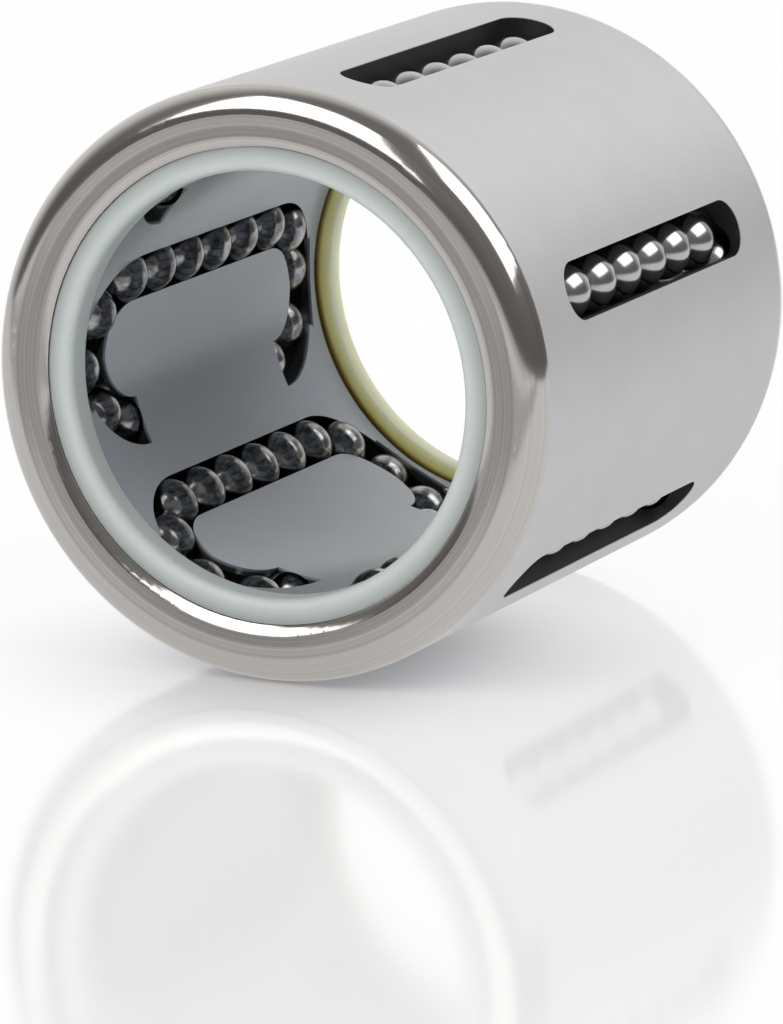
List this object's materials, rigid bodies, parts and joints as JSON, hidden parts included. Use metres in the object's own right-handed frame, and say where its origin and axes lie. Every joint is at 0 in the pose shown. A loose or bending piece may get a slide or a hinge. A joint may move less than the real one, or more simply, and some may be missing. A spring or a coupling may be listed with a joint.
{
  "type": "linear ball bearing",
  "caption": "Compact sealed linear ball bearing: slotted steel sleeve, dark ball cage, pale lip seals at both ends and closed ball circuits that roll along a shaft.",
  "frame": {"origin": "middle of the rear end face, where the bearing stands", "axes": "+Z along the shaft axis towards the front end, +X through the middle of the first return slot"},
  "size_m": [0.028, 0.028, 0.03],
  "materials": {
    "sleeve_steel": "satin ground steel",
    "ball_steel": "polished bearing steel",
    "cage_plastic": "dark moulded plastic, semi-gloss",
    "seal_elastomer": "pale moulded elastomer, satin"
  },
  "bodies": {
    "bearing_shell": {"outer_sleeve": "sleeve_steel", "ball_cage": "cage_plastic", "front_seal": "seal_elastomer", "rear_seal": "seal_elastomer"},
    "circuit_1_load_row": {"circuit_1_load_row": "ball_steel"},
    "circuit_1_front_turn_load_side": {"circuit_1_front_turn_load_side": "ball_steel"},
    "circuit_1_front_turn_return_side": {"circuit_1_front_turn_return_side": "ball_steel"},
    "circuit_1_return_row": {"circuit_1_return_row": "ball_steel"},
    "circuit_1_rear_turn_return_side": {"circuit_1_rear_turn_return_side": "ball_steel"},
    "circuit_1_rear_turn_load_side": {"circuit_1_rear_turn_load_side": "ball_steel"},
    "circuit_2_load_row": {"circuit_2_load_row": "ball_steel"},
    "circuit_2_front_turn_load_side": {"circuit_2_front_turn_load_side": "ball_steel"},
    "circuit_2_front_turn_return_side": {"circuit_2_front_turn_return_side": "ball_steel"},
    "circuit_2_return_row": {"circuit_2_return_row": "ball_steel"},
    "circuit_2_rear_turn_return_side": {"circuit_2_rear_turn_return_side": "ball_steel"},
    "circuit_2_rear_turn_load_side": {"circuit_2_rear_turn_load_side": "ball_steel"},
    "circuit_3_load_row": {"circuit_3_load_row": "ball_steel"},
    "circuit_3_front_turn_load_side": {"circuit_3_front_turn_load_side": "ball_steel"},
    "circuit_3_front_turn_return_side": {"circuit_3_front_turn_return_side": "ball_steel"},
    "circuit_3_return_row": {"circuit_3_return_row": "ball_steel"},
    "circuit_3_rear_turn_return_side": {"circuit_3_rear_turn_return_side": "ball_steel"},
    "circuit_3_rear_turn_load_side": {"circuit_3_rear_turn_load_side": "ball_steel"},
    "circuit_4_load_row": {"circuit_4_load_row": "ball_steel"},
    "circuit_4_front_turn_load_side": {"circuit_4_front_turn_load_side": "ball_steel"},
    "circuit_4_front_turn_return_side": {"circuit_4_front_turn_return_side": "ball_steel"},
    "circuit_4_return_row": {"circuit_4_return_row": "ball_steel"},
    "circuit_4_rear_turn_return_side": {"circuit_4_rear_turn_return_side": "ball_steel"},
    "circuit_4_rear_turn_load_side": {"circuit_4_rear_turn_load_side": "ball_steel"},
    "circuit_5_load_row": {"circuit_5_load_row": "ball_steel"},
    "circuit_5_front_turn_load_side": {"circuit_5_front_turn_load_side": "ball_steel"},
    "circuit_5_front_turn_return_side": {"circuit_5_front_turn_return_side": "ball_steel"},
    "circuit_5_return_row": {"circuit_5_return_row": "ball_steel"},
    "circuit_5_rear_turn_return_side": {"circuit_5_rear_turn_return_side": "ball_steel"},
    "circuit_5_rear_turn_load_side": {"circuit_5_rear_turn_load_side": "ball_steel"},
    "circuit_6_load_row": {"circuit_6_load_row": "ball_steel"},
    "circuit_6_front_turn_load_side": {"circuit_6_front_turn_load_side": "ball_steel"},
    "circuit_6_front_turn_return_side": {"circuit_6_front_turn_return_side": "ball_steel"},
    "circuit_6_return_row": {"circuit_6_return_row": "ball_steel"},
    "circuit_6_rear_turn_return_side": {"circuit_6_rear_turn_return_side": "ball_steel"},
    "circuit_6_rear_turn_load_side": {"circuit_6_rear_turn_load_side": "ball_steel"}
  },
  "joints": [
    {"name": "circuit_1_load_row_travel", "type": "slide", "parent": "bearing_shell", "child": "circuit_1_load_row", "axis": [0, 0, 1], "range_m": [-0.00059, 0.00236]},
    {"name": "circuit_1_front_load_bend", "type": "hinge", "parent": "bearing_shell", "child": "circuit_1_front_turn_load_side", "pos_m": [0.01141, -0.0037, 0.02238], "axis": [-0.8068, 0.5909, 0], "range_deg": [-9, 36]},
    {"name": "circuit_1_front_return_bend", "type": "hinge", "parent": "bearing_shell", "child": "circuit_1_front_turn_return_side", "pos_m": [0.01141, -0.0037, 0.02238], "axis": [-0.983, 0.1835, 0], "range_deg": [-9, 36]},
    {"name": "circuit_1_return_row_travel", "type": "slide", "parent": "bearing_shell", "child": "circuit_1_return_row", "axis": [0, 0, -1], "range_m": [-0.00059, 0.00236]},
    {"name": "circuit_1_rear_return_bend", "type": "hinge", "parent": "bearing_shell", "child": "circuit_1_rear_turn_return_side", "pos_m": [0.01141, -0.0037, 0.00762], "axis": [-0.983, 0.1835, 0], "range_deg": [-9, 36]},
    {"name": "circuit_1_rear_load_bend", "type": "hinge", "parent": "bearing_shell", "child": "circuit_1_rear_turn_load_side", "pos_m": [0.01141, -0.0037, 0.00762], "axis": [-0.8068, 0.5909, 0], "range_deg": [-9, 36]},
    {"name": "circuit_2_load_row_travel", "type": "slide", "parent": "bearing_shell", "child": "circuit_2_load_row", "axis": [0, 0, 1], "range_m": [-0.00059, 0.00236]},
    {"name": "circuit_2_front_load_bend", "type": "hinge", "parent": "bearing_shell", "child": "circuit_2_front_turn_load_side", "pos_m": [0.00891, 0.00803, 0.02238], "axis": [-0.9151, -0.4032, 0], "range_deg": [-9, 36]},
    {"name": "circuit_2_front_return_bend", "type": "hinge", "parent": "bearing_shell", "child": "circuit_2_front_turn_return_side", "pos_m": [0.00891, 0.00803, 0.02238], "axis": [-0.6505, -0.7595, 0], "range_deg": [-9, 36]},
    {"name": "circuit_2_return_row_travel", "type": "slide", "parent": "bearing_shell", "child": "circuit_2_return_row", "axis": [0, 0, -1], "range_m": [-0.00059, 0.00236]},
    {"name": "circuit_2_rear_return_bend", "type": "hinge", "parent": "bearing_shell", "child": "circuit_2_rear_turn_return_side", "pos_m": [0.00891, 0.00803, 0.00762], "axis": [-0.6505, -0.7595, 0], "range_deg": [-9, 36]},
    {"name": "circuit_2_rear_load_bend", "type": "hinge", "parent": "bearing_shell", "child": "circuit_2_rear_turn_load_side", "pos_m": [0.00891, 0.00803, 0.00762], "axis": [-0.9151, -0.4032, 0], "range_deg": [-9, 36]},
    {"name": "circuit_3_load_row_travel", "type": "slide", "parent": "bearing_shell", "child": "circuit_3_load_row", "axis": [0, 0, 1], "range_m": [-0.00059, 0.00236]},
    {"name": "circuit_3_front_load_bend", "type": "hinge", "parent": "bearing_shell", "child": "circuit_3_front_turn_load_side", "pos_m": [-0.0025, 0.01173, 0.02238], "axis": [-0.1083, -0.9941, 0], "range_deg": [-9, 36]},
    {"name": "circuit_3_front_return_bend", "type": "hinge", "parent": "bearing_shell", "child": "circuit_3_front_turn_return_side", "pos_m": [-0.0025, 0.01173, 0.02238], "axis": [0.3326, -0.9431, 0], "range_deg": [-9, 36]},
    {"name": "circuit_3_return_row_travel", "type": "slide", "parent": "bearing_shell", "child": "circuit_3_return_row", "axis": [0, 0, -1], "range_m": [-0.00059, 0.00236]},
    {"name": "circuit_3_rear_return_bend", "type": "hinge", "parent": "bearing_shell", "child": "circuit_3_rear_turn_return_side", "pos_m": [-0.0025, 0.01173, 0.00762], "axis": [0.3326, -0.9431, 0], "range_deg": [-9, 36]},
    {"name": "circuit_3_rear_load_bend", "type": "hinge", "parent": "bearing_shell", "child": "circuit_3_rear_turn_load_side", "pos_m": [-0.0025, 0.01173, 0.00762], "axis": [-0.1083, -0.9941, 0], "range_deg": [-9, 36]},
    {"name": "circuit_4_load_row_travel", "type": "slide", "parent": "bearing_shell", "child": "circuit_4_load_row", "axis": [0, 0, 1], "range_m": [-0.00059, 0.00236]},
    {"name": "circuit_4_front_load_bend", "type": "hinge", "parent": "bearing_shell", "child": "circuit_4_front_turn_load_side", "pos_m": [-0.01141, 0.0037, 0.02238], "axis": [0.8068, -0.5909, 0], "range_deg": [-9, 36]},
    {"name": "circuit_4_front_return_bend", "type": "hinge", "parent": "bearing_shell", "child": "circuit_4_front_turn_return_side", "pos_m": [-0.01141, 0.0037, 0.02238], "axis": [0.983, -0.1835, 0], "range_deg": [-9, 36]},
    {"name": "circuit_4_return_row_travel", "type": "slide", "parent": "bearing_shell", "child": "circuit_4_return_row", "axis": [0, 0, -1], "range_m": [-0.00059, 0.00236]},
    {"name": "circuit_4_rear_return_bend", "type": "hinge", "parent": "bearing_shell", "child": "circuit_4_rear_turn_return_side", "pos_m": [-0.01141, 0.0037, 0.00762], "axis": [0.983, -0.1835, 0], "range_deg": [-9, 36]},
    {"name": "circuit_4_rear_load_bend", "type": "hinge", "parent": "bearing_shell", "child": "circuit_4_rear_turn_load_side", "pos_m": [-0.01141, 0.0037, 0.00762], "axis": [0.8068, -0.5909, 0], "range_deg": [-9, 36]},
    {"name": "circuit_5_load_row_travel", "type": "slide", "parent": "bearing_shell", "child": "circuit_5_load_row", "axis": [0, 0, 1], "range_m": [-0.00059, 0.00236]},
    {"name": "circuit_5_front_load_bend", "type": "hinge", "parent": "bearing_shell", "child": "circuit_5_front_turn_load_side", "pos_m": [-0.00891, -0.00803, 0.02238], "axis": [0.9151, 0.4032, 0], "range_deg": [-9, 36]},
    {"name": "circuit_5_front_return_bend", "type": "hinge", "parent": "bearing_shell", "child": "circuit_5_front_turn_return_side", "pos_m": [-0.00891, -0.00803, 0.02238], "axis": [0.6505, 0.7595, 0], "range_deg": [-9, 36]},
    {"name": "circuit_5_return_row_travel", "type": "slide", "parent": "bearing_shell", "child": "circuit_5_return_row", "axis": [0, 0, -1], "range_m": [-0.00059, 0.00236]},
    {"name": "circuit_5_rear_return_bend", "type": "hinge", "parent": "bearing_shell", "child": "circuit_5_rear_turn_return_side", "pos_m": [-0.00891, -0.00803, 0.00762], "axis": [0.6505, 0.7595, 0], "range_deg": [-9, 36]},
    {"name": "circuit_5_rear_load_bend", "type": "hinge", "parent": "bearing_shell", "child": "circuit_5_rear_turn_load_side", "pos_m": [-0.00891, -0.00803, 0.00762], "axis": [0.9151, 0.4032, 0], "range_deg": [-9, 36]},
    {"name": "circuit_6_load_row_travel", "type": "slide", "parent": "bearing_shell", "child": "circuit_6_load_row", "axis": [0, 0, 1], "range_m": [-0.00059, 0.00236]},
    {"name": "circuit_6_front_load_bend", "type": "hinge", "parent": "bearing_shell", "child": "circuit_6_front_turn_load_side", "pos_m": [0.0025, -0.01173, 0.02238], "axis": [0.1083, 0.9941, 0], "range_deg": [-9, 36]},
    {"name": "circuit_6_front_return_bend", "type": "hinge", "parent": "bearing_shell", "child": "circuit_6_front_turn_return_side", "pos_m": [0.0025, -0.01173, 0.02238], "axis": [-0.3326, 0.9431, 0], "range_deg": [-9, 36]},
    {"name": "circuit_6_return_row_travel", "type": "slide", "parent": "bearing_shell", "child": "circuit_6_return_row", "axis": [0, 0, -1], "range_m": [-0.00059, 0.00236]},
    {"name": "circuit_6_rear_return_bend", "type": "hinge", "parent": "bearing_shell", "child": "circuit_6_rear_turn_return_side", "pos_m": [0.0025, -0.01173, 0.00762], "axis": [-0.3326, 0.9431, 0], "range_deg": [-9, 36]},
    {"name": "circuit_6_rear_load_bend", "type": "hinge", "parent": "bearing_shell", "child": "circuit_6_rear_turn_load_side", "pos_m": [0.0025, -0.01173, 0.00762], "axis": [0.1083, 0.9941, 0], "range_deg": [-9, 36]}
  ],
  "couplings": [
    {"joint": "circuit_1_front_load_bend", "follows": "circuit_1_load_row_travel", "rad_per_m": 265.96},
    {"joint": "circuit_1_front_return_bend", "follows": "circuit_1_load_row_travel", "rad_per_m": 265.96},
    {"joint": "circuit_1_return_row_travel", "follows": "circuit_1_load_row_travel", "ratio": 1},
    {"joint": "circuit_1_rear_return_bend", "follows": "circuit_1_load_row_travel", "rad_per_m": 265.96},
    {"joint": "circuit_1_rear_load_bend", "follows": "circuit_1_load_row_travel", "rad_per_m": 265.96},
    {"joint": "circuit_2_front_load_bend", "follows": "circuit_2_load_row_travel", "rad_per_m": 265.96},
    {"joint": "circuit_2_front_return_bend", "follows": "circuit_2_load_row_travel", "rad_per_m": 265.96},
    {"joint": "circuit_2_return_row_travel", "follows": "circuit_2_load_row_travel", "ratio": 1},
    {"joint": "circuit_2_rear_return_bend", "follows": "circuit_2_load_row_travel", "rad_per_m": 265.96},
    {"joint": "circuit_2_rear_load_bend", "follows": "circuit_2_load_row_travel", "rad_per_m": 265.96},
    {"joint": "circuit_3_front_load_bend", "follows": "circuit_3_load_row_travel", "rad_per_m": 265.96},
    {"joint": "circuit_3_front_return_bend", "follows": "circuit_3_load_row_travel", "rad_per_m": 265.96},
    {"joint": "circuit_3_return_row_travel", "follows": "circuit_3_load_row_travel", "ratio": 1},
    {"joint": "circuit_3_rear_return_bend", "follows": "circuit_3_load_row_travel", "rad_per_m": 265.96},
    {"joint": "circuit_3_rear_load_bend", "follows": "circuit_3_load_row_travel", "rad_per_m": 265.96},
    {"joint": "circuit_4_front_load_bend", "follows": "circuit_4_load_row_travel", "rad_per_m": 265.96},
    {"joint": "circuit_4_front_return_bend", "follows": "circuit_4_load_row_travel", "rad_per_m": 265.96},
    {"joint": "circuit_4_return_row_travel", "follows": "circuit_4_load_row_travel", "ratio": 1},
    {"joint": "circuit_4_rear_return_bend", "follows": "circuit_4_load_row_travel", "rad_per_m": 265.96},
    {"joint": "circuit_4_rear_load_bend", "follows": "circuit_4_load_row_travel", "rad_per_m": 265.96},
    {"joint": "circuit_5_front_load_bend", "follows": "circuit_5_load_row_travel", "rad_per_m": 265.96},
    {"joint": "circuit_5_front_return_bend", "follows": "circuit_5_load_row_travel", "rad_per_m": 265.96},
    {"joint": "circuit_5_return_row_travel", "follows": "circuit_5_load_row_travel", "ratio": 1},
    {"joint": "circuit_5_rear_return_bend", "follows": "circuit_5_load_row_travel", "rad_per_m": 265.96},
    {"joint": "circuit_5_rear_load_bend", "follows": "circuit_5_load_row_travel", "rad_per_m": 265.96},
    {"joint": "circuit_6_front_load_bend", "follows": "circuit_6_load_row_travel", "rad_per_m": 265.96},
    {"joint": "circuit_6_front_return_bend", "follows": "circuit_6_load_row_travel", "rad_per_m": 265.96},
    {"joint": "circuit_6_return_row_travel", "follows": "circuit_6_load_row_travel", "ratio": 1},
    {"joint": "circuit_6_rear_return_bend", "follows": "circuit_6_load_row_travel", "rad_per_m": 265.96},
    {"joint": "circuit_6_rear_load_bend", "follows": "circuit_6_load_row_travel", "rad_per_m": 265.96}
  ]
}
